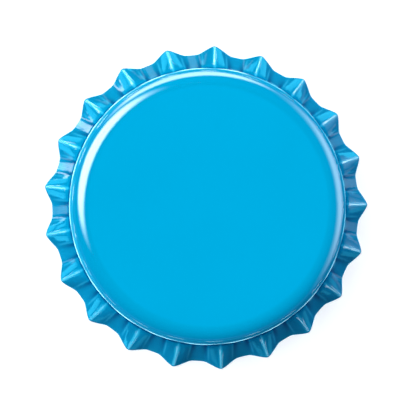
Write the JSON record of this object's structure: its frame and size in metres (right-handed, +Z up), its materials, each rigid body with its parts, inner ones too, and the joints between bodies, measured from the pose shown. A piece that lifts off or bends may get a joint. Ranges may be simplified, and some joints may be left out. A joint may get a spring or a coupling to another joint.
{
  "type": "bottle cap",
  "caption": "Pressed tinplate crown cork for a glass bottle, lacquered blue outside, with a pleated skirt of teeth and a moulded sealing liner inside.",
  "frame": {"origin": "on the cap's axis, in the plane of the rim that the cap stands on", "axes": "+Z up along the cap's axis, from the rim to the flat top; +X through the tip of a tooth"},
  "size_m": [0.032, 0.0322, 0.006],
  "materials": {
    "blue_lacquer": "glossy baked lacquer on tinplate; the inside is clear-lacquered tinplate and the cut edge is bare steel",
    "sealing_compound": "satin moulded polyethylene, slightly cloudy"
  },
  "bodies": {
    "root": {"crown_shell": "blue_lacquer", "liner": "sealing_compound"}
  },
  "joints": []
}
